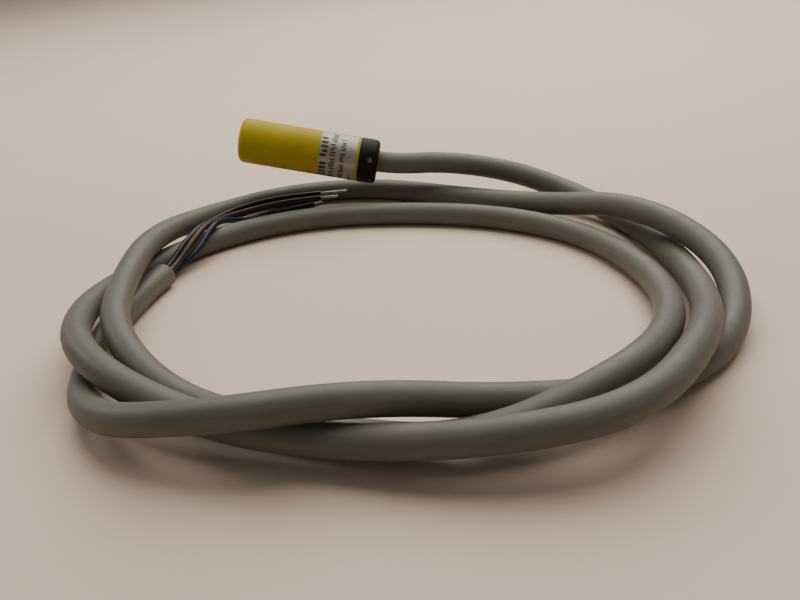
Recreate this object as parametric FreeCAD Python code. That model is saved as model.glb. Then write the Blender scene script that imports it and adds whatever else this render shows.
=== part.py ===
"""Short smooth-barrel inductive proximity sensor with a coiled three-core cable.

Every piece is modelled on the sensor's own axis, from the sensing face (x = 0) to the cable
outlet, and is then tilted into the row frame.  Row frame: origin at the centre of the sensing
face, +X towards the cable outlet, +Z up, millimetres.  The cable lies in loose turns on the
surface at z = SURFACE_Z, and holds the barrel just above one of its turns, sensing face up.
"""
import FreeCAD, Part
import math
import os
from FreeCAD import Vector

# ---- driving dimensions -----------------------------------------------------------------
TILT = 13.6              # degrees, sensing face above the cable outlet
HEADING = 14.0           # degrees, the barrel's axis from +X towards +Y, seen from above
LED_ROLL = -20.0         # degrees, turns the board so that its indicator faces the front
SURFACE_Z = -19.7        # the surface that the cable lies on

BARREL_R = 5.5
HOUSING_LEN = 29.9
SENSOR_LEN = 34.6
FACE_WALL = 0.8
BORE_R = 4.7
FACE_FILLET = 1.3
CAP_FILLET = 1.2

LABEL_X0 = 20.1
LABEL_X1 = 29.3
LABEL_DEPTH = 0.08

CORE_X0 = 0.9            # ferrite pot core, behind a thin film of adhesive
CORE_X1 = 4.7
CORE_R = 4.2
GROOVE_R0 = 2.0
GROOVE_R1 = 3.4
GROOVE_X1 = 3.6
HOLDER_X1 = 6.1

BOARD_X0 = 6.3
BOARD_X1 = 24.5
BOARD_HALF_WIDTH = 3.9
BOARD_HALF_THICK = 0.4
TONGUE_X1 = 33.5
TONGUE_Y0 = -4.0
TONGUE_Y1 = -3.3

SPIGOT_X0 = 27.2
SPIGOT_R = 4.3
CAP_CAVITY_R = 4.5
CAP_CAVITY_X0 = 31.0
CAP_CAVITY_X1 = 33.6
WINDOW_X = 32.7
WINDOW_R = 0.65

CABLE_R = 2.6
CABLE_X0 = 28.3          # where the jacket ends inside the cap
CABLE_CLEARANCE = 0.15
CORE_WIRE_R = 0.7
CORE_PITCH_R = 0.82
CONDUCTOR_R = 0.4
COIL_LEAD_R = 0.12
COIL_LEAD_Y = 2.7


def on_axis(x):
    """The point of the row frame that lies on the sensor's axis, x behind the sensing face."""
    level = x * math.cos(math.radians(TILT))
    heading = math.radians(HEADING)
    return (level * math.cos(heading), level * math.sin(heading), -x * math.sin(math.radians(TILT)))


# The cable's route in the row frame, from inside the cap to its cut end.  The surface is one
# cable radius below the points at LOW; where the cable crosses itself, the upper strand has
# its high points on both sides of the crossing.
LOW = SURFACE_Z + CABLE_R
CABLE_ROUTE = [
    # straight out of the cap, then down behind the coil to the surface
    on_axis(CABLE_X0), on_axis(38), (49.5, 11.7, -8.8), (66, 13, -11.4), (80.5, 9, -15.1),
    (92.5, 0, LOW), (103, -16.5, LOW),
    # first turn: over the outer strand at the right, along the front, round the left
    (109.5, -39.5, -15.5), (108.8, -63.5, -10.3), (100.3, -84.7, -10.3), (79.5, -92.8, -12.5),
    (55.5, -94.2, -15), (34.5, -93, -14.3), (12.5, -87, -9.8), (-2.5, -68.5, -12.8),
    (-7.9, -45, -17), (1, -22, LOW), (19.5, -7.5, LOW), (42.5, -2.5, LOW), (66.5, -3, LOW),
    # second turn: the inner strand at the right, under the first along the front
    (88, -12.5, LOW), (102, -33.5, -16.5), (104.1, -58, -12.8), (96.3, -78.2, -10.2),
    (77.5, -88.9, -16.4), (54, -89.4, LOW), (29.5, -87.2, -16.5), (10.5, -76, -11.4),
    (1, -57.5, -10.9), (-6, -36.5, -11), (-6.7, -12.5, -15.8), (7, 8.1, LOW), (30, 14.5, LOW),
    (53, 9, LOW),
    # third turn: over the first at the back, outermost at the right, over both at the left
    (74.5, 0, -15), (96, -11, -9.8), (113, -28, -12.7), (115.2, -49, LOW), (104, -68.5, LOW),
    (82, -79.5, -15), (62.5, -90.5, -8.8), (40.5, -99.7, -9.1), (17.5, -95.7, -15.1),
    (5, -76, LOW), (-0.3, -55.5, LOW), (-0.3, -42.5, LOW),
]

# The stripped cores, from the cable's cut end over the strand beside it to their tinned tips.
CORE_ROUTES = {
    "black": [(-1.05, -42.5, -16.65), (-1.05, -39, -16.65), (-0.6, -33, -14.1),
              (-0.9, -25.5, -13.2), (-1.5, -18, -14.5), (-0.6, -10, -15.2), (3.8, -2.7, -15.4),
              (10.3, 2.7, -15.8), (16.8, 6.1, -16.1)],
    "brown": [(0.45, -42.5, -16.65), (0.45, -39, -16.65), (1.1, -33, -14.1), (0.7, -25.5, -12.8),
              (0.4, -18, -14.2), (1.1, -10.7, -15.6), (5.3, -3.7, -16.2), (11.3, 1.5, -16.5),
              (17.3, 4.7, -16.8)],
    "blue": [(-0.3, -42.5, -17.95), (-0.3, -38.5, -17.95), (2.5, -32, -15.8), (2.4, -25, -12.9),
             (1.7, -18, -14.2), (2.8, -11.5, -17), (5.7, -4.4, -18.5), (9.9, 1.5, -19),
             (14.5, 5.9, -19)],
}
TIP_LENGTHS = {"black": 7.0, "brown": 4.5, "blue": 2.5}

os.makedirs("parts", exist_ok=True)
AXIS_X = Vector(1, 0, 0)
ORIGIN = Vector(0, 0, 0)


# ---- helpers ------------------------------------------------------------------------------
def disc(radius, x0, x1, y=0.0, z=0.0):
    """Solid cylinder along X from x0 to x1."""
    return Part.makeCylinder(radius, x1 - x0, Vector(x0, y, z), AXIS_X)


def ring(outer, inner, x0, x1):
    """Cylinder along X with a through hole."""
    return disc(outer, x0, x1).cut(disc(inner, x0 - 1, x1 + 1))


def box(x0, x1, y0, y1, z0, z1):
    return Part.makeBox(x1 - x0, y1 - y0, z1 - z0, Vector(x0, y0, z0))


def circle_edges(shape, radius, x):
    """The shape's circular edges of one radius at one place along X."""
    found = []
    for edge in shape.Edges:
        curve = edge.Curve
        if isinstance(curve, Part.Circle) and abs(curve.Radius - radius) < 1e-6:
            if abs(curve.Center.x - x) < 1e-6:
                found.append(edge)
    return found


def rounded_path(points, share=0.45):
    """Straight runs joined by tangent arcs, each as large as its two runs allow."""
    points = [Vector(*p) for p in points]
    edges = []
    radii = []
    start = points[0]
    for before, corner, after in zip(points, points[1:], points[2:]):
        run_in = corner - before
        run_out = after - corner
        reach = share * min(run_in.Length, run_out.Length)
        turn = run_in.getAngle(run_out)
        dir_in = Vector(run_in).normalize()
        dir_out = Vector(run_out).normalize()
        radius = reach / math.tan(turn / 2)
        arc_start = corner - dir_in * reach
        arc_end = corner + dir_out * reach
        inward = (dir_out - dir_in).normalize()
        centre = corner + inward * (radius / math.cos(turn / 2))
        middle = centre - inward * radius
        edges.append(Part.LineSegment(start, arc_start).toShape())
        edges.append(Part.Arc(arc_start, middle, arc_end).toShape())
        radii.append(radius)
        start = arc_end
    edges.append(Part.LineSegment(start, points[-1]).toShape())
    return Part.Wire(edges), radii


def round_tube(points, radius, name):
    """A plain round tube along a route; prints its bends and tests its volume."""
    path, radii = rounded_path(points)
    start = Vector(*points[0])
    heading = Vector(*points[1]) - start
    profile = Part.Wire([Part.makeCircle(radius, start, heading)])
    solid = path.makePipeShell([profile], True, False)
    expected = math.pi * radius ** 2 * path.Length
    print(f"{name}: length {path.Length:.1f}, bend radii",
          " ".join(f"{r:.0f}" for r in radii),
          f"volume over section x length {solid.Volume / expected:.4f}")
    return solid


def group(shapes):
    return Part.makeCompound(shapes)


# ---- housing, label and cap ---------------------------------------------------------------
def make_housing():
    body = disc(BARREL_R, 0, HOUSING_LEN)
    body = body.makeFillet(FACE_FILLET, circle_edges(body, BARREL_R, 0))
    recess = ring(BARREL_R + 1, BARREL_R - LABEL_DEPTH, LABEL_X0, LABEL_X1)
    return body.cut(disc(BORE_R, FACE_WALL, HOUSING_LEN + 1)).cut(recess)


def make_rating_label():
    """Foil wrapped once round the barrel; its two ends leave a narrow seam underneath."""
    seam_width = 0.4
    foil = ring(BARREL_R, BARREL_R - LABEL_DEPTH, LABEL_X0, LABEL_X1)
    return foil.cut(box(LABEL_X0 - 1, LABEL_X1 + 1, -seam_width / 2, seam_width / 2,
                        -BARREL_R - 1, 0))


def make_end_cap():
    """Cap with a spigot in the housing, a cavity for the indicator and a cable outlet."""
    body = disc(BARREL_R, HOUSING_LEN, SENSOR_LEN)
    body = body.makeFillet(CAP_FILLET, circle_edges(body, BARREL_R, SENSOR_LEN))
    body = body.fuse(disc(BORE_R, SPIGOT_X0, HOUSING_LEN)).removeSplitter()
    body = body.cut(disc(SPIGOT_R, SPIGOT_X0 - 1, CAP_CAVITY_X0))
    body = body.cut(disc(CAP_CAVITY_R, CAP_CAVITY_X0, CAP_CAVITY_X1))
    body = body.cut(disc(CABLE_R + CABLE_CLEARANCE, CAP_CAVITY_X1 - 1, SENSOR_LEN + 1))
    window_hole = Part.makeCylinder(WINDOW_R, BARREL_R, Vector(WINDOW_X, 0, 0), Vector(0, -1, 0))
    return body.cut(window_hole)


def make_led_window():
    """Clear light pipe, its outer end flush with the round barrel."""
    pipe = Part.makeCylinder(WINDOW_R, BARREL_R, Vector(WINDOW_X, 0, 0), Vector(0, -1, 0))
    shell = ring(BARREL_R, CAP_CAVITY_R, WINDOW_X - 2, WINDOW_X + 2)
    piece = pipe.common(shell)
    return piece


# ---- the coil at the sensing face ---------------------------------------------------------
def coil_lead_holes(x0, x1):
    z = BOARD_HALF_THICK + COIL_LEAD_R
    return [disc(0.3, x0, x1, y, z) for y in (-COIL_LEAD_Y, COIL_LEAD_Y)]


def make_ferrite_core():
    core = ring(CORE_R, 0.8, CORE_X0, CORE_X1)
    core = core.cut(ring(GROOVE_R1, GROOVE_R0, CORE_X0 - 1, GROOVE_X1))
    for hole in coil_lead_holes(GROOVE_X1 - 1, CORE_X1 + 1):
        core = core.cut(hole)
    return core


def make_coil_bobbin():
    wall = 0.25
    x0 = CORE_X0 + 0.1
    x1 = GROOVE_X1 - 0.05
    inner = GROOVE_R0 + 0.05
    flange = GROOVE_R1 - 0.1
    hub = ring(inner + wall, inner, x0, x1)
    front = ring(flange, inner, x0, x0 + wall)
    back = ring(flange, inner, x1 - wall, x1)
    return hub.fuse([front, back]).removeSplitter()


def make_coil_winding():
    return ring(GROOVE_R1 - 0.2, GROOVE_R0 + 0.3, CORE_X0 + 0.35, GROOVE_X1 - 0.3)


def make_core_holder():
    """Cup that centres the core in the bore and carries the front end of the board."""
    cup = disc(BORE_R - 0.05, CORE_X0 + 1.1, HOLDER_X1)
    cup = cup.cut(disc(CORE_R, CORE_X0, CORE_X1))
    for hole in coil_lead_holes(CORE_X1 - 1, HOLDER_X1 + 1):
        cup = cup.cut(hole)
    return cup


def make_coil_leads():
    z = BOARD_HALF_THICK + COIL_LEAD_R
    return group([disc(COIL_LEAD_R, GROOVE_X1, BOARD_X0 + 1.6, y, z)
                  for y in (-COIL_LEAD_Y, COIL_LEAD_Y)])


# ---- circuit board and what is soldered to it -----------------------------------------------
def make_circuit_board():
    board = box(BOARD_X0, BOARD_X1, -BOARD_HALF_WIDTH, BOARD_HALF_WIDTH,
                -BOARD_HALF_THICK, BOARD_HALF_THICK)
    tongue = box(BOARD_X1 - 1, TONGUE_X1, TONGUE_Y0, TONGUE_Y1,
                 -BOARD_HALF_THICK, BOARD_HALF_THICK)
    return board.fuse(tongue).removeSplitter()


def chip_package(x, y, length, width, height, legs_per_side, leg_width):
    """Moulded package standing on gull-wing legs, on the board's top face."""
    top = BOARD_HALF_THICK
    stand_off = 0.1
    body = box(x - length / 2, x + length / 2, y - width / 2, y + width / 2,
               top + stand_off, top + stand_off + height)
    solids = [body]
    pitch = length / legs_per_side
    for side in (-1, 1):
        for i in range(legs_per_side):
            leg_x = x - length / 2 + pitch * (i + 0.5)
            inner = y + side * width / 2
            outer = inner + side * 0.7
            low, high = sorted((inner, outer))
            solids.append(box(leg_x - leg_width / 2, leg_x + leg_width / 2, low, high,
                              top, top + 0.35))
    return group(solids)


def chip_block(x, y, length, width, height, below=False):
    z0 = -BOARD_HALF_THICK - height if below else BOARD_HALF_THICK
    return box(x - length / 2, x + length / 2, y - width / 2, y + width / 2, z0, z0 + height)


def make_chip_resistors():
    return group([chip_block(9.6 + 2.9 * i, 2.2 * (-1) ** i, 1.6, 0.8, 0.45, below=True)
                  for i in range(5)])


def make_chip_capacitors():
    below = [(9.2, -2.7), (12.4, 2.5)]
    above = [(17, -2.9), (19.9, 2.6)]
    blocks = [chip_block(x, y, 2.0, 1.0, 0.8, below=True) for x, y in below]
    blocks += [chip_block(x, y, 2.0, 1.0, 0.8) for x, y in above]
    return group(blocks)


def make_status_led():
    """Side-looking indicator on the edge of the board's tongue."""
    return box(WINDOW_X - 0.6, WINDOW_X + 0.6, TONGUE_Y0 - 0.45, TONGUE_Y0, -0.4, 0.4)


def make_solder_joints():
    domes = []
    for y in (-2.2, 0.0, 2.2):
        domes.append(Part.makeCone(0.75, 0.35, 0.7, Vector(21.9, y, BOARD_HALF_THICK)))
    for y in (-COIL_LEAD_Y, COIL_LEAD_Y):
        domes.append(Part.makeCone(0.45, 0.2, 0.45, Vector(BOARD_X0 + 2.05, y, BOARD_HALF_THICK)))
    return group(domes)


# ---- cable entry ------------------------------------------------------------------------------
def make_inner_lead(index):
    """One core between the jacket's end and its solder joint on the board."""
    angle = math.radians(90 + 120 * index)
    y = CORE_PITCH_R * math.cos(angle)
    z = CORE_PITCH_R * math.sin(angle)
    pad_y = (0.0, -2.2, 2.2)[index]
    pad_z = BOARD_HALF_THICK + CORE_WIRE_R + 0.05
    route = [(CABLE_X0, y, z), (CABLE_X0 - 1, y, z), (25.5, pad_y, pad_z), (22.7, pad_y, pad_z)]
    return round_tube(route, CORE_WIRE_R, f"inner lead {index}")


def tilt(shape):
    """From the sensor's own axis to the row frame."""
    placed = shape.copy()
    placed.rotate(ORIGIN, Vector(0, 1, 0), TILT)
    placed.rotate(ORIGIN, Vector(0, 0, 1), HEADING)
    return placed


def roll(shape):
    """Turn the board and everything on it so that the indicator faces the front."""
    placed = shape.copy()
    placed.rotate(ORIGIN, AXIS_X, LED_ROLL)
    return placed


def main():
    on_axis = {
        "housing": make_housing(),
        "rating_label": make_rating_label(),
        "core_adhesive": disc(CORE_R, FACE_WALL, CORE_X0),
        "coil_winding": make_coil_winding(),
        "coil_bobbin": make_coil_bobbin(),
        "cable_seal": ring(3.2, CABLE_R, CAP_CAVITY_X0, CAP_CAVITY_X1),
        "crimp_ring": ring(3.0, CABLE_R, CABLE_X0 + 0.2, CAP_CAVITY_X0 - 0.4),
    }
    rolled = {
        "end_cap": make_end_cap(),
        "led_window": make_led_window(),
        "ferrite_core": make_ferrite_core(),
        "core_holder": make_core_holder(),
        "coil_leads": make_coil_leads(),
        "circuit_board": make_circuit_board(),
        "oscillator_ic": chip_package(13, 0, 4.9, 3.9, 1.4, 4, 0.4),
        "output_transistor": chip_package(17.6, -0.6, 2.9, 1.3, 1.0, 2, 0.4),
        "protection_diode": chip_block(18.4, 2.7, 2.6, 1.5, 1.0, below=True),
        "suppressor_diode": chip_block(22.6, -2.3, 3.2, 2.2, 1.4, below=True),
        "chip_resistors": make_chip_resistors(),
        "chip_capacitors": make_chip_capacitors(),
        "status_led": make_status_led(),
        "solder_joints": make_solder_joints(),
    }
    for index, colour in enumerate(("black", "blue", "brown")):
        rolled[f"inner_lead_{colour}"] = make_inner_lead(index)

    nodes = {name: tilt(shape) for name, shape in on_axis.items()}
    nodes.update({name: tilt(roll(shape)) for name, shape in rolled.items()})

    # Resin fills what is left of the bore behind the core holder.
    resin = disc(BORE_R - 0.02, HOLDER_X1, SPIGOT_X0)
    resin = resin.fuse(disc(SPIGOT_R - 0.02, SPIGOT_X0, CAP_CAVITY_X0 - 0.1)).removeSplitter()
    resin = tilt(resin)
    jacket_inside = tilt(disc(CABLE_R, CABLE_X0, SENSOR_LEN))
    buried = [nodes[name] for name in nodes if name not in ("housing", "rating_label", "end_cap")]
    for shape in buried + [jacket_inside]:
        resin = resin.cut(shape)
    nodes["potting_compound"] = resin

    nodes["cable_jacket"] = round_tube(CABLE_ROUTE, CABLE_R, "cable")
    for colour, route in CORE_ROUTES.items():
        nodes[f"wire_{colour}"] = round_tube(route, CORE_WIRE_R, f"{colour} core")
        end = Vector(*route[-1])
        heading = end - Vector(*route[-2])
        nodes[f"tip_{colour}"] = Part.makeCylinder(CONDUCTOR_R, TIP_LENGTHS[colour], end, heading)

    for name, shape in nodes.items():
        assert shape.isValid(), name
        shape.exportStep(f"parts/{name}.step")
        print(f"{name}: {len(shape.Solids)} solid(s), {shape.Volume:.2f} mm3")


main()
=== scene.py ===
import math
import random

import bmesh
import bpy
from mathutils import Matrix, Vector, noise


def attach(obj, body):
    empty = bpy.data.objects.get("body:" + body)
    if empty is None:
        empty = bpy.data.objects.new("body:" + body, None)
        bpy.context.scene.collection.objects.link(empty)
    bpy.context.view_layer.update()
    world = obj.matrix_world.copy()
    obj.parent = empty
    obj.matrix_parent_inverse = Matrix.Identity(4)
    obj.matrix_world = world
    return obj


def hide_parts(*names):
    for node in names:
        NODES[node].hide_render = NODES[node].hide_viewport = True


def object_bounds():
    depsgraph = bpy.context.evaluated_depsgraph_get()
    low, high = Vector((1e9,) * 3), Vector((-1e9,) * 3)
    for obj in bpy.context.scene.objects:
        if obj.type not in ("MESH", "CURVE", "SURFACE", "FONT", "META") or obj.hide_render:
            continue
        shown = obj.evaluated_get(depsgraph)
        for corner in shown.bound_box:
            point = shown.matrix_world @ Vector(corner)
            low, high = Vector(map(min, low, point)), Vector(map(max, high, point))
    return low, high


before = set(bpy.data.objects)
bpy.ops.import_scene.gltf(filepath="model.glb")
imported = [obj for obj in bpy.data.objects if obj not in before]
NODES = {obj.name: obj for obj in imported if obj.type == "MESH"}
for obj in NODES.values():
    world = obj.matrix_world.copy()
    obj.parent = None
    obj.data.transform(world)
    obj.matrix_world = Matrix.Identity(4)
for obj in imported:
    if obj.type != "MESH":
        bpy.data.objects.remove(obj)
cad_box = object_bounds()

# Short smooth-barrel proximity sensor on a loosely coiled cable.  Metres, in the row frame:
# origin at the centre of the sensing face, +X towards the cable outlet, +Z up.

MM = 0.001
BODY = "root"

# ---- sizes, as in the CAD -------------------------------------------------------------------
TILT = math.radians(13.6)
HEADING = math.radians(14)
BARREL_R = 5.5 * MM
HOUSING_LEN = 29.9 * MM
OUTLET_X = 34.6          # millimetres behind the face, where the cable leaves the cap
SENSOR_LEN = OUTLET_X * MM
FACE_WALL = 0.8 * MM
BORE_R = 4.7 * MM
FACE_FILLET = 1.3 * MM
CAP_FILLET = 1.2 * MM
LABEL_X0 = 20.1 * MM
LABEL_X1 = 29.3 * MM
LABEL_DEPTH = 0.08 * MM
LABEL_MARGIN = 0.05 * MM
SPIGOT_X0 = 27.2 * MM
SPIGOT_R = 4.3 * MM
CAVITY_R = 4.5 * MM
CAVITY_X0 = 31.0 * MM
CAVITY_X1 = 33.6 * MM
WINDOW_X = 32.7 * MM
WINDOW_R = 0.65 * MM
WINDOW_ROLL = math.radians(-20)
CABLE_X0 = 28.3          # millimetres behind the face, where the jacket ends inside the cap
CABLE_R = 2.6 * MM
OUTLET_R = 2.75 * MM
CORE_R = 0.7 * MM
CONDUCTOR_R = 0.4 * MM
STRAND_COUNT = 7         # one straight strand with six twisted round it
STRAND_TWIST = 2.2 * math.pi / (7 * MM)
LATHE_SEGMENTS = 144

SURFACE_Z = cad_box[0].z
LOW = -17.1              # millimetres, centre of a cable that lies on the surface


def on_axis_mm(x):
    """A point on the sensor's axis, x millimetres behind the sensing face."""
    level = x * math.cos(TILT)
    return (level * math.cos(HEADING), level * math.sin(HEADING), -x * math.sin(TILT))


# The cable's route, the same points as in the CAD, in millimetres until it is built.
CABLE_ROUTE = [
    # straight out of the cap, then down behind the coil to the surface
    on_axis_mm(CABLE_X0), on_axis_mm(38), (49.5, 11.7, -8.8), (66, 13, -11.4), (80.5, 9, -15.1),
    (92.5, 0, LOW), (103, -16.5, LOW),
    # first turn: over the outer strand at the right, along the front, round the left
    (109.5, -39.5, -15.5), (108.8, -63.5, -10.3), (100.3, -84.7, -10.3), (79.5, -92.8, -12.5),
    (55.5, -94.2, -15), (34.5, -93, -14.3), (12.5, -87, -9.8), (-2.5, -68.5, -12.8),
    (-7.9, -45, -17), (1, -22, LOW), (19.5, -7.5, LOW), (42.5, -2.5, LOW), (66.5, -3, LOW),
    # second turn: the inner strand at the right, under the first along the front
    (88, -12.5, LOW), (102, -33.5, -16.5), (104.1, -58, -12.8), (96.3, -78.2, -10.2),
    (77.5, -88.9, -16.4), (54, -89.4, LOW), (29.5, -87.2, -16.5), (10.5, -76, -11.4),
    (1, -57.5, -10.9), (-6, -36.5, -11), (-6.7, -12.5, -15.8), (7, 8.1, LOW), (30, 14.5, LOW),
    (53, 9, LOW),
    # third turn: over the first at the back, outermost at the right, over both at the left
    (74.5, 0, -15), (96, -11, -9.8), (113, -28, -12.7), (115.2, -49, LOW), (104, -68.5, LOW),
    (82, -79.5, -15), (62.5, -90.5, -8.8), (40.5, -99.7, -9.1), (17.5, -95.7, -15.1),
    (5, -76, LOW), (-0.3, -55.5, LOW), (-0.3, -42.5, LOW),
]

CORE_ROUTES = {
    "black": [(-1.05, -42.5, -16.65), (-1.05, -39, -16.65), (-0.6, -33, -14.1),
              (-0.9, -25.5, -13.2), (-1.5, -18, -14.5), (-0.6, -10, -15.2), (3.8, -2.7, -15.4),
              (10.3, 2.7, -15.8), (16.8, 6.1, -16.1)],
    "brown": [(0.45, -42.5, -16.65), (0.45, -39, -16.65), (1.1, -33, -14.1), (0.7, -25.5, -12.8),
              (0.4, -18, -14.2), (1.1, -10.7, -15.6), (5.3, -3.7, -16.2), (11.3, 1.5, -16.5),
              (17.3, 4.7, -16.8)],
    "blue": [(-0.3, -42.5, -17.95), (-0.3, -38.5, -17.95), (2.5, -32, -15.8), (2.4, -25, -12.9),
             (1.7, -18, -14.2), (2.8, -11.5, -17), (5.7, -4.4, -18.5), (9.9, 1.5, -19),
             (14.5, 5.9, -19)],
}
TIP_LENGTHS = {"black": 7.0 * MM, "brown": 4.5 * MM, "blue": 2.5 * MM}

# ---- camera ---------------------------------------------------------------------------------
CAMERA_POS = Vector((99.3, -175.7, 53.4)) * MM
CAMERA_AIM = Vector((52.7, -42.2, -19.7)) * MM
CAMERA_ROLL = math.radians(-5.3)
LENS = 36.0


def make_camera():
    data = bpy.data.cameras.new("camera")
    data.lens = LENS
    data.sensor_width = 36.0
    data.clip_start = 0.005
    data.clip_end = 20.0
    camera = bpy.data.objects.new("camera", data)
    bpy.context.scene.collection.objects.link(camera)
    look = (CAMERA_AIM - CAMERA_POS).to_track_quat("-Z", "Y").to_matrix().to_4x4()
    camera.matrix_world = Matrix.Translation(CAMERA_POS) @ look @ Matrix.Rotation(CAMERA_ROLL, 4, "Z")
    bpy.context.scene.camera = camera


# ---- mesh helpers ---------------------------------------------------------------------------
def add_object(name, mesh):
    obj = bpy.data.objects.new(name, mesh)
    bpy.context.scene.collection.objects.link(obj)
    return obj


def mesh_from(name, verts, faces, smooth=True, uvs=None):
    """Mesh object; uvs, if given, is one (u, v) per vertex of each face."""
    mesh = bpy.data.meshes.new(name)
    mesh.from_pydata([tuple(v) for v in verts], [], faces)
    mesh.polygons.foreach_set("use_smooth", [smooth] * len(mesh.polygons))
    if uvs is not None:
        layer = mesh.uv_layers.new(name="UVMap")
        flat = [c for face in uvs for uv in face for c in uv]
        layer.data.foreach_set("uv", flat)
    mesh.validate()
    mesh.update()
    return add_object(name, mesh)


def tilt_to_frame(obj, roll=0.0):
    """From the sensor's own axis to the row frame, in the mesh itself."""
    lean = Matrix.Rotation(HEADING, 4, "Z") @ Matrix.Rotation(TILT, 4, "Y")
    obj.data.transform(lean @ Matrix.Rotation(roll, 4, "X"))
    obj.data.update()


def arc(cx, cr, radius, start, end, steps):
    """Points (x, r) of an arc in the profile plane, angles in degrees."""
    points = []
    for i in range(steps + 1):
        a = math.radians(start + (end - start) * i / steps)
        points.append((cx + radius * math.cos(a), cr + radius * math.sin(a)))
    return points


def lathe(name, profile, closed):
    """Turns a profile of (x, r) points round the X axis; a point at r = 0 becomes a pole."""
    segments = LATHE_SEGMENTS
    verts, rings, faces, uvs = [], [], [], []
    for x, r in profile:
        if r < 1e-9:
            rings.append([len(verts)])
            verts.append((x, 0, 0))
            continue
        row = []
        for k in range(segments):
            a = 2 * math.pi * k / segments
            row.append(len(verts))
            verts.append((x, r * math.cos(a), r * math.sin(a)))
        rings.append(row)
    pairs = list(zip(range(len(rings) - 1), range(1, len(rings))))
    if closed:
        pairs.append((len(rings) - 1, 0))
    run = 0.0
    for i, j in pairs:
        a, b = rings[i], rings[j]
        step = math.dist(profile[i], profile[j])
        for k in range(segments):
            n = (k + 1) % segments
            u0, u1 = k / segments, (k + 1) / segments
            if len(a) == 1 and len(b) == 1:
                continue
            if len(a) == 1:
                faces.append((a[0], b[n], b[k]))
                uvs.append(((u0, run), (u1, run + step), (u0, run + step)))
            elif len(b) == 1:
                faces.append((a[k], a[n], b[0]))
                uvs.append(((u0, run), (u1, run), (u0, run + step)))
            else:
                faces.append((a[k], a[n], b[n], b[k]))
                uvs.append(((u0, run), (u1, run), (u1, run + step), (u0, run + step)))
        run += step
    obj = mesh_from(name, verts, faces, uvs=uvs)
    fix_normals(obj)
    return obj


def fix_normals(obj):
    bm = bmesh.new()
    bm.from_mesh(obj.data)
    bmesh.ops.recalc_face_normals(bm, faces=bm.faces)
    bm.to_mesh(obj.data)
    bm.free()


def sharpen(obj, angle):
    """Keeps crisp corners crisp while round faces stay smooth."""
    bm = bmesh.new()
    bm.from_mesh(obj.data)
    for edge in bm.edges:
        if len(edge.link_faces) == 2:
            edge.smooth = edge.calc_face_angle(0.0) < math.radians(angle)
    bm.to_mesh(obj.data)
    bm.free()


# ---- cords ------------------------------------------------------------------------------------
def spline_points(name, route):
    """The smooth line of a route: a NURBS spline whose control points are the route's points."""
    data = bpy.data.curves.new(name + "_line", "CURVE")
    data.dimensions = "3D"
    data.resolution_u = 24
    spline = data.splines.new("NURBS")
    spline.points.add(len(route) - 1)
    for point, place in zip(spline.points, route):
        point.co = (*(Vector(place) * MM), 1.0)
    spline.order_u = 3
    spline.use_endpoint_u = True
    curve = add_object(name + "_line", data)
    mesh = bpy.data.meshes.new_from_object(curve)
    points = [v.co.copy() for v in mesh.vertices]
    bpy.data.objects.remove(curve)
    bpy.data.meshes.remove(mesh)
    return points


def evenly(points, step):
    """The same line with evenly spaced points."""
    total = sum((b - a).length for a, b in zip(points, points[1:]))
    count = max(2, round(total / step))
    spacing = total / count
    even = [points[0].copy()]
    need = spacing
    for a, b in zip(points, points[1:]):
        length = (b - a).length
        used = 0.0
        while length > 0 and used + need <= length + 1e-12:
            used += need
            even.append(a.lerp(b, used / length))
            need = spacing
        need -= length - used
    if len(even) <= count:
        even.append(points[-1].copy())
    even[-1] = points[-1].copy()
    return even


def frames_along(points):
    """Tangent and side at each point, without twist."""
    tangents = []
    for i in range(len(points)):
        a = points[max(i - 1, 0)]
        b = points[min(i + 1, len(points) - 1)]
        tangents.append((b - a).normalized())
    side = tangents[0].cross(Vector((0, 0, 1)))
    if side.length < 1e-6:
        side = Vector((0, 1, 0))
    side.normalize()
    sides = []
    for t in tangents:
        side = (side - t * side.dot(t)).normalized()
        sides.append(side.copy())
    return tangents, sides


def make_tube(name, points, radius, segments, step, wobble=0.0, seed=0, end_round=0.0):
    """Tube mesh along a line; its ends close on a flat or slightly rounded cut."""
    line = evenly(points, step)
    tangents, sides = frames_along(line)
    verts, faces, uvs = [], [], []
    rows = []
    lengths = [0.0]
    for a, b in zip(line, line[1:]):
        lengths.append(lengths[-1] + (b - a).length)

    def add_ring(centre, t, s, r, along):
        up = t.cross(s)
        row = []
        for k in range(segments):
            a = 2 * math.pi * k / segments
            out = s * math.cos(a) + up * math.sin(a)
            swell = 0.0
            if wobble:
                probe = Vector((math.cos(a) * 0.6, math.sin(a) * 0.6, along * 45.0 + seed * 7.3))
                swell = wobble * noise.noise(probe)
            row.append(len(verts))
            verts.append(centre + out * (r + swell))
        rows.append((row, along))

    last = len(line) - 1
    for i, centre in enumerate(line):
        t, s = tangents[i], sides[i]
        if i == last and end_round:
            for j in range(1, 4):
                a = math.radians(30 * j)
                back = end_round * (1 - math.sin(a))
                add_ring(centre - t * back, t, s, radius - end_round * (1 - math.cos(a)), lengths[i] - back)
        else:
            add_ring(centre, t, s, radius, lengths[i])
    for (a, va), (b, vb) in zip(rows, rows[1:]):
        for k in range(segments):
            n = (k + 1) % segments
            faces.append((a[k], a[n], b[n], b[k]))
            u0, u1 = k / segments, (k + 1) / segments
            uvs.append(((u0, va), (u1, va), (u1, vb), (u0, vb)))
    for row, along in (rows[0], rows[-1]):
        faces.append(tuple(row if row is rows[-1][0] else reversed(row)))
        uvs.append(tuple((0.5, along) for _ in row))
    obj = mesh_from(name, verts, faces, uvs=uvs)
    sharpen(obj, 50)
    return obj, line


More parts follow.
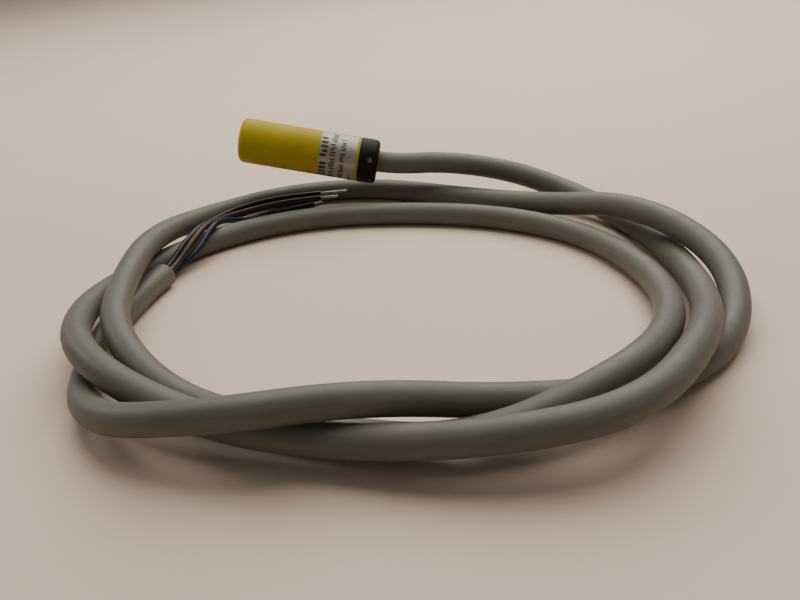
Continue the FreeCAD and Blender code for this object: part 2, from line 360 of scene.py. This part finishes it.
def make_tip(name, start, heading, length, seed):
    """Tinned strands, twisted together, ending unevenly."""
    rng = random.Random(seed)
    steps = 28
    side = heading.cross(Vector((0, 0, 1))).normalized()
    up = side.cross(heading)
    strand_r = CONDUCTOR_R * 0.36
    ring_r = CONDUCTOR_R - strand_r
    parts = []
    for index in range(STRAND_COUNT):
        reach = length * (1.0 if index == 0 else rng.uniform(0.93, 1.0))
        phase = 2 * math.pi * index / (STRAND_COUNT - 1)
        r = 0.0 if index == 0 else ring_r
        line = []
        for i in range(steps + 1):
            f = i / steps
            a = phase + STRAND_TWIST * f * length
            line.append(start + heading * (reach * f) + (side * math.cos(a) + up * math.sin(a)) * r)
        tube, _ = make_tube(f"{name}_strand", line, strand_r, 10, 0.25 * MM, end_round=strand_r * 0.5)
        parts.append(tube)
    return join(parts, name)


def join(objects, name):
    """One object from several; the several are removed."""
    bm = bmesh.new()
    for obj in objects:
        bm.from_mesh(obj.data)
    mesh = bpy.data.meshes.new(name)
    bm.to_mesh(mesh)
    bm.free()
    for obj in objects:
        bpy.data.objects.remove(obj)
    return add_object(name, mesh)


# ---- materials --------------------------------------------------------------------------------
class Shader:
    """A new node material and short ways to add nodes to it."""

    def __init__(self, name):
        self.material = bpy.data.materials.new(name)
        self.material.use_nodes = True
        self.nodes = self.material.node_tree.nodes
        self.links = self.material.node_tree.links
        self.shader = self.nodes["Principled BSDF"]
        self.coords = self.nodes.new("ShaderNodeTexCoord")

    def set(self, **values):
        for key, value in values.items():
            self.shader.inputs[key.replace("_", " ")].default_value = value

    def mapped(self, source="Object", scale=(1, 1, 1)):
        mapping = self.nodes.new("ShaderNodeMapping")
        mapping.inputs["Scale"].default_value = scale
        self.links.new(self.coords.outputs[source], mapping.inputs["Vector"])
        return mapping.outputs["Vector"]

    def noise(self, scale, detail=4.0, roughness=0.55, vector=None):
        node = self.nodes.new("ShaderNodeTexNoise")
        node.inputs["Scale"].default_value = scale
        node.inputs["Detail"].default_value = detail
        node.inputs["Roughness"].default_value = roughness
        self.links.new(vector or self.coords.outputs["Object"], node.inputs["Vector"])
        return node.outputs["Fac"]

    def ramp(self, value, stops):
        node = self.nodes.new("ShaderNodeValToRGB")
        elements = node.color_ramp.elements
        while len(elements) < len(stops):
            elements.new(0.5)
        for element, (place, colour) in zip(elements, stops):
            element.position = place
            element.color = (*colour, 1.0)
        self.links.new(value, node.inputs["Fac"])
        return node.outputs["Color"]

    def mix(self, factor, a, b):
        node = self.nodes.new("ShaderNodeMix")
        node.data_type = "RGBA"
        for socket, value in (("Factor", factor), ("A", a), ("B", b)):
            target = [s for s in node.inputs if s.name == socket and s.enabled][0]
            if isinstance(value, bpy.types.NodeSocket):
                self.links.new(value, target)
            elif socket == "Factor":
                target.default_value = value
            else:
                target.default_value = (*value, 1.0)
        return [s for s in node.outputs if s.enabled][0]

    def math(self, operation, a, b):
        node = self.nodes.new("ShaderNodeMath")
        node.operation = operation
        for target, value in zip(node.inputs, (a, b)):
            if isinstance(value, bpy.types.NodeSocket):
                self.links.new(value, target)
            else:
                target.default_value = value
        return node.outputs["Value"]

    def range(self, value, low, high, to_low, to_high):
        node = self.nodes.new("ShaderNodeMapRange")
        for key, v in (("From Min", low), ("From Max", high), ("To Min", to_low), ("To Max", to_high)):
            node.inputs[key].default_value = v
        self.links.new(value, node.inputs["Value"])
        return node.outputs["Result"]

    def bump(self, layers):
        """Height layers of (value, strength, distance in metres), one on top of another."""
        normal = None
        for value, strength, distance in layers:
            node = self.nodes.new("ShaderNodeBump")
            node.inputs["Strength"].default_value = strength
            node.inputs["Distance"].default_value = distance
            self.links.new(value, node.inputs["Height"])
            if normal is not None:
                self.links.new(normal, node.inputs["Normal"])
            normal = node.outputs["Normal"]
        self.links.new(normal, self.shader.inputs["Normal"])

    def feed(self, **sockets):
        for key, value in sockets.items():
            self.links.new(value, self.shader.inputs[key.replace("_", " ")])

    def worn_edges(self):
        """About 1 on convex edges and 0 on flats."""
        geometry = self.nodes.new("ShaderNodeNewGeometry")
        return self.range(geometry.outputs["Pointiness"], 0.52, 0.6, 0.0, 1.0)


def yellow_plastic():
    s = Shader("yellow_plastic")
    s.set(IOR=1.5, Specular_IOR_Level=0.18, Subsurface_Weight=0.06, Subsurface_Scale=0.002)
    cloud = s.noise(140.0, 3.0)
    base = s.ramp(cloud, [(0.3, (0.335, 0.262, 0.006)), (0.7, (0.375, 0.296, 0.008))])
    grime = s.noise(420.0, 8.0, 0.7)
    dirt = s.ramp(grime, [(0.60, (0, 0, 0)), (0.78, (1, 1, 1))])
    soft_dirt = s.math("MULTIPLY", dirt, 0.22)
    coloured = s.mix(soft_dirt, base, (0.17, 0.125, 0.02))
    scuff_noise = s.noise(90.0, 12.0, 0.75, s.mapped(scale=(0.25, 1, 1)))
    scuff = s.ramp(scuff_noise, [(0.62, (0, 0, 0)), (0.70, (1, 1, 1))])
    final = s.mix(s.math("MULTIPLY", scuff, 0.15), coloured, (0.50, 0.42, 0.09))
    grain = s.noise(5200.0, 3.0)
    wave = s.noise(260.0, 2.0)
    s.feed(Base_Color=final,
           Roughness=s.range(s.noise(700.0, 5.0), 0.3, 0.7, 0.50, 0.64))
    s.bump([(wave, 0.12, 0.0002), (grain, 0.16, 0.00003), (scuff_noise, 0.06, 0.00005)])
    return s.material


def label_foil():
    s = Shader("label_foil")
    s.set(Metallic=0.75, IOR=1.5, Anisotropic=0.35)
    brushed = s.noise(1500.0, 5.0, 0.7, s.mapped(scale=(1.0, 0.06, 0.06)))
    crumple = s.noise(260.0, 4.0)
    base = s.ramp(brushed, [(0.3, (0.27, 0.25, 0.22)), (0.7, (0.36, 0.335, 0.30))])
    stain = s.ramp(s.noise(330.0, 6.0, 0.7), [(0.55, (0, 0, 0)), (0.75, (1, 1, 1))])
    s.feed(Base_Color=s.mix(s.math("MULTIPLY", stain, 0.35), base, (0.25, 0.225, 0.17)),
           Roughness=s.range(brushed, 0.3, 0.7, 0.46, 0.62))
    s.bump([(crumple, 0.22, 0.00012), (brushed, 0.10, 0.00003)])
    return s.material


def label_ink():
    s = Shader("label_ink")
    s.set(IOR=1.5)
    patch = s.noise(2600.0, 6.0, 0.7)
    s.feed(Base_Color=s.ramp(patch, [(0.35, (0.012, 0.012, 0.012)), (0.75, (0.035, 0.034, 0.032))]),
           Roughness=s.range(patch, 0.3, 0.7, 0.42, 0.6))
    s.bump([(patch, 0.2, 0.00002)])
    return s.material


def black_plastic():
    s = Shader("black_plastic")
    s.set(IOR=1.5, Specular_IOR_Level=0.14)
    blotch = s.noise(300.0, 5.0, 0.6)
    base = s.ramp(blotch, [(0.35, (0.0042, 0.0042, 0.0024)), (0.7, (0.0085, 0.0082, 0.0050))])
    dust_noise = s.noise(1900.0, 8.0, 0.7)
    dust = s.ramp(dust_noise, [(0.62, (0, 0, 0)), (0.72, (1, 1, 1))])
    worn = s.mix(s.math("MULTIPLY", s.worn_edges(), 0.35), base, (0.030, 0.029, 0.020))
    grain = s.noise(3600.0, 4.0)
    s.feed(Base_Color=s.mix(s.math("MULTIPLY", dust, 0.22), worn, (0.050, 0.048, 0.036)),
           Roughness=s.range(blotch, 0.3, 0.7, 0.46, 0.62))
    s.bump([(grain, 0.28, 0.00004)])
    return s.material


def window_plastic():
    s = Shader("window_plastic")
    s.set(IOR=1.49, Transmission_Weight=0.15, Subsurface_Weight=0.3, Subsurface_Scale=0.0006)
    cloud = s.noise(2400.0, 4.0)
    s.feed(Base_Color=s.ramp(cloud, [(0.3, (0.115, 0.088, 0.042)), (0.7, (0.170, 0.130, 0.064))]),
           Roughness=s.range(cloud, 0.3, 0.7, 0.2, 0.35))
    s.bump([(cloud, 0.15, 0.00003)])
    return s.material


def cable_jacket():
    s = Shader("cable_jacket")
    s.set(IOR=1.48, Specular_IOR_Level=0.34)
    along = s.mapped("UV", (14.0, 60.0, 1.0))
    streak = s.noise(1.0, 6.0, 0.6, along)
    cloud = s.noise(38.0, 4.0)
    base = s.ramp(cloud, [(0.3, (0.098, 0.095, 0.074)), (0.7, (0.118, 0.115, 0.092))])
    streaked = s.mix(s.range(streak, 0.45, 0.75, 0.0, 0.30), base, (0.175, 0.170, 0.142))
    grime = s.ramp(s.noise(210.0, 9.0, 0.72), [(0.58, (0, 0, 0)), (0.74, (1, 1, 1))])
    dirty = s.mix(s.math("MULTIPLY", grime, 0.28), streaked, (0.050, 0.047, 0.032))
    rub_noise = s.noise(120.0, 10.0, 0.7, s.mapped("Object", (1, 1, 1.6)))
    rub = s.ramp(rub_noise, [(0.64, (0, 0, 0)), (0.72, (1, 1, 1))])
    s.feed(Base_Color=s.mix(s.math("MULTIPLY", rub, 0.16), dirty, (0.26, 0.25, 0.21)),
           Roughness=s.range(s.noise(500.0, 5.0), 0.3, 0.7, 0.44, 0.58))
    grain = s.noise(3800.0, 3.0)
    s.bump([(streak, 0.10, 0.00010), (grain, 0.14, 0.00003)])
    return s.material


def core_insulation(name, dark, light):
    s = Shader(name)
    s.set(IOR=1.5, Specular_IOR_Level=0.25)
    streak = s.noise(1.0, 5.0, 0.6, s.mapped("UV", (10.0, 120.0, 1.0)))
    grain = s.noise(4200.0, 3.0)
    s.feed(Base_Color=s.ramp(streak, [(0.35, dark), (0.7, light)]),
           Roughness=s.range(grain, 0.3, 0.7, 0.30, 0.44))
    s.bump([(grain, 0.12, 0.00002)])
    return s.material


def tinned_copper():
    s = Shader("tinned_copper")
    s.set(Metallic=1.0)
    cloud = s.noise(1800.0, 6.0, 0.7)
    base = s.ramp(cloud, [(0.35, (0.20, 0.19, 0.16)), (0.65, (0.50, 0.48, 0.43)),
                          (0.8, (0.40, 0.30, 0.19))])
    s.feed(Base_Color=base, Roughness=s.range(cloud, 0.3, 0.7, 0.30, 0.55))
    s.bump([(cloud, 0.4, 0.00004)])
    return s.material


def plain_part(name, dark, light, rough=(0.4, 0.6), metallic=0.0, scale=900.0, bump=0.15):
    """For the pieces inside the barrel: colour, roughness and grain that vary a little."""
    s = Shader(name)
    s.set(Metallic=metallic)
    cloud = s.noise(scale, 5.0, 0.6)
    s.feed(Base_Color=s.ramp(cloud, [(0.3, dark), (0.7, light)]),
           Roughness=s.range(cloud, 0.3, 0.7, *rough))
    s.bump([(s.noise(scale * 4, 3.0), bump, 0.00003)])
    return s.material


def circuit_board():
    """Green solder mask with faint tracks under it."""
    s = Shader("circuit_board")
    s.set(IOR=1.5, Coat_Weight=0.2, Coat_Roughness=0.2)
    voronoi = s.nodes.new("ShaderNodeTexVoronoi")
    voronoi.feature = "DISTANCE_TO_EDGE"
    voronoi.distance = "MANHATTAN"
    voronoi.inputs["Scale"].default_value = 420.0
    s.links.new(s.coords.outputs["Object"], voronoi.inputs["Vector"])
    tracks = s.range(voronoi.outputs["Distance"], 0.04, 0.08, 1.0, 0.0)
    cloud = s.noise(700.0, 4.0)
    base = s.ramp(cloud, [(0.3, (0.008, 0.085, 0.035)), (0.7, (0.012, 0.110, 0.045))])
    s.feed(Base_Color=s.mix(s.math("MULTIPLY", tracks, 0.6), base, (0.03, 0.20, 0.08)),
           Roughness=s.range(cloud, 0.3, 0.7, 0.3, 0.45))
    s.bump([(tracks, 0.3, 0.00003)])
    return s.material


def copper_winding():
    """Fine turns of enamelled wire."""
    s = Shader("copper_winding")
    s.set(Metallic=1.0)
    wave = s.nodes.new("ShaderNodeTexWave")
    wave.bands_direction = "X"
    wave.inputs["Scale"].default_value = 1600.0
    wave.inputs["Distortion"].default_value = 0.6
    s.links.new(s.coords.outputs["Object"], wave.inputs["Vector"])
    turns = wave.outputs["Fac"]
    s.feed(Base_Color=s.ramp(turns, [(0.1, (0.24, 0.07, 0.02)), (0.8, (0.72, 0.28, 0.10))]),
           Roughness=s.range(turns, 0.0, 1.0, 0.45, 0.25))
    s.bump([(turns, 0.6, 0.00006)])
    return s.material


def floor_material():
    s = Shader("floor")
    s.set(IOR=1.45)
    cloud = s.noise(7.0, 3.0)
    fine = s.noise(900.0, 4.0)
    s.feed(Base_Color=s.ramp(cloud, [(0.3, (0.640, 0.490, 0.395)), (0.7, (0.665, 0.515, 0.418))]),
           Roughness=s.range(fine, 0.3, 0.7, 0.62, 0.72))
    s.bump([(fine, 0.08, 0.00004)])
    return s.material


def dress(obj, material, node=None):
    obj.data.materials.clear()
    obj.data.materials.append(material)
    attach(obj, BODY)
    if node:
        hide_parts(node)


# ---- the cords, first ---------------------------------------------------------------------------
make_camera()

CORE_COLOURS = {
    "black": ((0.003, 0.003, 0.003), (0.009, 0.009, 0.008)),
    "brown": ((0.022, 0.008, 0.003), (0.048, 0.020, 0.007)),
    "blue": ((0.002, 0.005, 0.022), (0.005, 0.012, 0.044)),
}
CORE_MATERIALS = {name: core_insulation(f"{name}_insulation", *pair)
                  for name, pair in CORE_COLOURS.items()}
TINNED = tinned_copper()

cable_line = spline_points("cable", CABLE_ROUTE)
jacket, jacket_path = make_tube("cable", cable_line, CABLE_R, 48, 0.9 * MM, wobble=0.03 * MM,
                                seed=3, end_round=0.25 * MM)
dress(jacket, cable_jacket(), "cable_jacket")

for index, (colour, route) in enumerate(CORE_ROUTES.items()):
    core_line = spline_points(f"{colour}_core", route)
    core, core_path = make_tube(f"{colour}_core", core_line, CORE_R, 28, 0.5 * MM, wobble=0.012 * MM,
                                seed=11 + index, end_round=0.08 * MM)
    dress(core, CORE_MATERIALS[colour], f"wire_{colour}")
    end = Vector(route[-1]) * MM
    heading = (Vector(route[-1]) - Vector(route[-2])).normalized()
    tip = make_tip(f"{colour}_tip", end, heading, TIP_LENGTHS[colour], seed=20 + index)
    dress(tip, TINNED, f"tip_{colour}")


# ---- barrel ---------------------------------------------------------------------------------------
def make_housing():
    """Yellow tube, closed at the sensing face, with the label's shallow recess."""
    edge = 0.12 * MM
    groove_r = BARREL_R - LABEL_DEPTH
    profile = [(0, 0), (0, 1.5 * MM), (0, 3 * MM)]
    profile += arc(FACE_FILLET, BARREL_R - FACE_FILLET, FACE_FILLET, 180, 90, 14)
    profile += [(x * MM, BARREL_R) for x in (4, 8, 12, 16, 20)]
    profile += [(LABEL_X0 - edge / 4, BARREL_R), (LABEL_X0, BARREL_R - edge / 8), (LABEL_X0, groove_r)]
    profile += [(24.7 * MM, groove_r), (LABEL_X1, groove_r), (LABEL_X1, BARREL_R - edge / 8)]
    profile += [(LABEL_X1 + edge / 4, BARREL_R), (HOUSING_LEN - edge, BARREL_R)]
    profile += arc(HOUSING_LEN - edge, BARREL_R - edge, edge, 90, 0, 4)[1:]
    profile += [(HOUSING_LEN, BORE_R), (16 * MM, BORE_R), (FACE_WALL, BORE_R), (FACE_WALL, 0)]
    obj = lathe("housing_shell", profile, closed=False)
    tilt_to_frame(obj)
    sharpen(obj, 30)
    return obj


def foil_patch(name, x0, x1, a0, a1, r0, r1, nx, na, corner=0.0):
    """Thin curved sheet round the barrel between two angles, with optional round corners."""
    verts, faces = [], []

    def inset(f):
        """How far a corner cuts in along the edge, at a fraction f of the x span."""
        if corner <= 0:
            return 0.0
        near = min(f, 1 - f) * (x1 - x0)
        if near >= corner:
            return 0.0
        return (corner - math.sqrt(max(0.0, corner ** 2 - (corner - near) ** 2))) / BARREL_R

    for r in (r0, r1):
        for i in range(nx + 1):
            f = i / nx
            cut = inset(f)
            for j in range(na + 1):
                a = (a0 + cut) + (a1 - a0 - 2 * cut) * j / na
                verts.append((x0 + (x1 - x0) * f, r * math.cos(a), r * math.sin(a)))
    layer = (nx + 1) * (na + 1)

    def at(k, i, j):
        return k * layer + i * (na + 1) + j

    for i in range(nx):
        for j in range(na):
            faces.append((at(1, i, j), at(1, i + 1, j), at(1, i + 1, j + 1), at(1, i, j + 1)))
            faces.append((at(0, i, j), at(0, i, j + 1), at(0, i + 1, j + 1), at(0, i + 1, j)))
    for i in range(nx):
        for j in (0, na):
            faces.append((at(0, i, j), at(0, i + 1, j), at(1, i + 1, j), at(1, i, j)))
    for j in range(na):
        for i in (0, nx):
            faces.append((at(0, i, j), at(1, i, j), at(1, i, j + 1), at(0, i, j + 1)))
    obj = mesh_from(name, verts, faces)
    fix_normals(obj)
    return obj


def make_label():
    """Foil wrapped once round the barrel, with a seam underneath."""
    seam = math.radians(2)
    start = math.radians(-90) + seam
    obj = foil_patch("label_sheet", LABEL_X0 + LABEL_MARGIN, LABEL_X1 - LABEL_MARGIN, start,
                     start + 2 * math.pi - 2 * seam, BARREL_R - LABEL_DEPTH, BARREL_R, 12, 160)
    tilt_to_frame(obj)
    sharpen(obj, 40)
    return obj


def make_print():
    """Greeked print: rows of plain bars that run round the barrel, none of them a letter."""
    rng = random.Random(5)
    lift = 0.012 * MM
    rows = [
        # place along the label, height, thickness of the bars, where the row starts and ends
        (1.15 * MM, 1.85 * MM, 0.80 * MM, 243, 122),
        (3.35 * MM, 1.60 * MM, 0.42 * MM, 240, 92),
        (5.75 * MM, 1.35 * MM, 0.34 * MM, 238, 118),
        (7.90 * MM, 0.90 * MM, 0.24 * MM, 262, 214),
    ]
    marks = []
    for place, height, bar, start, end in rows:
        x = LABEL_X0 + place
        for turned in (0, 180):
            angle = math.radians(start + turned)
            stop = math.radians(end + turned)
            count = 0
            while angle > stop:
                share = rng.uniform(0.7, 1.0)
                low = x - height / 2 + rng.choice((0.0, 1 - share)) * height
                marks.append(foil_patch("mark", low, low + share * height, angle - bar / BARREL_R,
                                        angle, BARREL_R - lift, BARREL_R + lift, 4, 4,
                                        corner=bar * 0.2))
                count += 1
                gap = 1.6 if count % 5 == 0 else rng.uniform(0.35, 0.65)
                angle -= bar * (1 + gap) / BARREL_R
    obj = join(marks, "label_print")
    tilt_to_frame(obj)
    return obj


def make_cap():
    """Rear cap: spigot, cavity, rounded rear edge and cable outlet, with the window's hole."""
    lip = 0.12 * MM
    profile = [(SPIGOT_X0, SPIGOT_R), (SPIGOT_X0, BORE_R - 0.02 * MM), (HOUSING_LEN, BORE_R - 0.02 * MM)]
    profile += [(HOUSING_LEN, BARREL_R - lip)]
    profile += arc(HOUSING_LEN + lip, BARREL_R - lip, lip, 180, 90, 4)[1:]
    profile += [(x * MM, BARREL_R) for x in (30.8, 31.6, 32.4, 33)]
    profile += arc(SENSOR_LEN - CAP_FILLET, BARREL_R - CAP_FILLET, CAP_FILLET, 90, 0, 14)
    profile += [(SENSOR_LEN, 3.5 * MM), (SENSOR_LEN, OUTLET_R + 0.15 * MM)]
    profile += [(SENSOR_LEN - 0.15 * MM, OUTLET_R), (CAVITY_X1, OUTLET_R), (CAVITY_X1, CAVITY_R)]
    profile += [(CAVITY_X0, CAVITY_R), (CAVITY_X0, SPIGOT_R)]
    obj = lathe("cap_shell", profile, closed=True)
    cutter = window_cutter()
    cut = obj.modifiers.new("window_hole", "BOOLEAN")
    cut.object = cutter
    cut.operation = "DIFFERENCE"
    cut.solver = "EXACT"
    apply_modifiers(obj)
    bpy.data.objects.remove(cutter)
    tilt_to_frame(obj, WINDOW_ROLL)
    sharpen(obj, 30)
    return obj


def apply_modifiers(obj):
    depsgraph = bpy.context.evaluated_depsgraph_get()
    mesh = bpy.data.meshes.new_from_object(obj.evaluated_get(depsgraph))
    old = obj.data
    obj.modifiers.clear()
    obj.data = mesh
    bpy.data.meshes.remove(old)


def window_cutter():
    """Rod along -Y that cuts the window's hole through the cap's wall."""
    segments = 40
    verts, faces = [], []
    for depth in (CAVITY_R - 1 * MM, BARREL_R + 1 * MM):
        for k in range(segments):
            a = 2 * math.pi * k / segments
            verts.append((WINDOW_X + WINDOW_R * math.cos(a), -depth, WINDOW_R * math.sin(a)))
    for k in range(segments):
        n = (k + 1) % segments
        faces.append((k, n, segments + n, segments + k))
    faces.append(tuple(range(segments)))
    faces.append(tuple(reversed(range(segments, 2 * segments))))
    obj = mesh_from("window_cutter", verts, faces)
    fix_normals(obj)
    return obj


def make_window():
    """Light pipe with a slightly domed outer end."""
    segments = 40
    gap = 0.01 * MM
    levels = [(CAVITY_R + gap, 1.0), (5 * MM, 1.0)]
    levels += [(BARREL_R - 0.10 * MM * f * f, math.sqrt(max(0.0, f))) for f in (1.0, 0.8, 0.55, 0.3, 0.1)]
    verts, faces = [], []
    for depth, share in levels:
        for k in range(segments):
            a = 2 * math.pi * k / segments
            r = (WINDOW_R - gap) * share
            verts.append((WINDOW_X + r * math.cos(a), -depth, r * math.sin(a)))
    for i in range(len(levels) - 1):
        for k in range(segments):
            n = (k + 1) % segments
            faces.append((i * segments + k, i * segments + n,
                          (i + 1) * segments + n, (i + 1) * segments + k))
    faces.append(tuple(range(segments)))
    faces.append(tuple(range((len(levels) - 1) * segments, len(levels) * segments)))
    obj = mesh_from("window_lens", verts, faces)
    fix_normals(obj)
    tilt_to_frame(obj, WINDOW_ROLL)
    sharpen(obj, 40)
    return obj


dress(make_housing(), yellow_plastic(), "housing")
dress(make_label(), label_foil(), "rating_label")
dress(make_print(), label_ink())
dress(make_cap(), black_plastic(), "end_cap")
dress(make_window(), window_plastic(), "led_window")

# ---- pieces inside the barrel keep their CAD shapes -------------------------------------------------
INNER = {
    "core_adhesive": plain_part("adhesive", (0.42, 0.36, 0.18), (0.52, 0.45, 0.24)),
    "ferrite_core": plain_part("ferrite", (0.012, 0.012, 0.014), (0.030, 0.030, 0.033), (0.55, 0.75)),
    "coil_bobbin": plain_part("bobbin_plastic", (0.60, 0.59, 0.54), (0.68, 0.67, 0.62)),
    "coil_winding": copper_winding(),
    "coil_leads": plain_part("copper_lead", (0.50, 0.18, 0.06), (0.72, 0.30, 0.12), (0.25, 0.4), 1.0),
    "core_holder": plain_part("holder_plastic", (0.50, 0.49, 0.45), (0.60, 0.59, 0.54)),
    "circuit_board": circuit_board(),
    "oscillator_ic": plain_part("chip_package", (0.010, 0.010, 0.011), (0.022, 0.022, 0.023)),
    "status_led": plain_part("led_resin", (0.55, 0.42, 0.12), (0.66, 0.52, 0.18), (0.12, 0.2)),
    "chip_capacitors": plain_part("capacitor_ceramic", (0.20, 0.12, 0.06), (0.30, 0.19, 0.10)),
    "solder_joints": plain_part("solder", (0.50, 0.50, 0.51), (0.70, 0.70, 0.71), (0.2, 0.35), 1.0),
    "potting_compound": plain_part("potting_resin", (0.020, 0.017, 0.012), (0.034, 0.030, 0.022),
                                   (0.2, 0.35)),
    "cable_seal": plain_part("seal_rubber", (0.010, 0.010, 0.010), (0.020, 0.020, 0.020), (0.6, 0.8)),
    "crimp_ring": plain_part("crimp_brass", (0.42, 0.30, 0.12), (0.60, 0.45, 0.20), (0.25, 0.4), 1.0),
}
for name in ("output_transistor", "protection_diode", "suppressor_diode", "chip_resistors"):
    INNER[name] = INNER["oscillator_ic"]
for colour, material in CORE_MATERIALS.items():
    INNER[f"inner_lead_{colour}"] = material
for name, material in INNER.items():
    NODES[name].data.materials.clear()
    NODES[name].data.materials.append(material)


# ---- floor and lights ---------------------------------------------------------------------------------
def make_floor():
    half = 4.0
    verts = [(-half, -half, 0), (half, -half, 0), (half, half, 0), (-half, half, 0)]
    floor = mesh_from("floor", verts, [(0, 1, 2, 3)], smooth=False)
    floor.location = (0.06, 0, SURFACE_Z)
    floor.data.materials.append(floor_material())


def make_area_light(name, place, aim, size, power, colour):
    data = bpy.data.lights.new(name, "AREA")
    data.shape = "DISK"
    data.size = size
    data.energy = power
    data.color = colour
    light = bpy.data.objects.new(name, data)
    bpy.context.scene.collection.objects.link(light)
    light.location = place
    light.rotation_mode = "QUATERNION"
    light.rotation_quaternion = (Vector(aim) - Vector(place)).to_track_quat("-Z", "Y")


def make_world():
    world = bpy.data.worlds.new("world")
    bpy.context.scene.world = world
    world.use_nodes = True
    background = world.node_tree.nodes["Background"]
    background.inputs["Color"].default_value = (0.90, 0.86, 0.79, 1.0)
    background.inputs["Strength"].default_value = 0.27


make_floor()
make_world()
COIL_CENTRE = (0.06, -0.04, SURFACE_Z)
make_area_light("top", (0.04, 0.24, 0.40), (0.05, 0.06, SURFACE_Z), 0.72, 4.7, (1.0, 0.94, 0.86))
make_area_light("back", (0.02, 0.72, 0.50), COIL_CENTRE, 0.36, 0.7, (1.0, 0.94, 0.86))
make_area_light("left", (-0.46, 0.02, 0.26), COIL_CENTRE, 0.16, 0.45, (1.0, 0.97, 0.92))
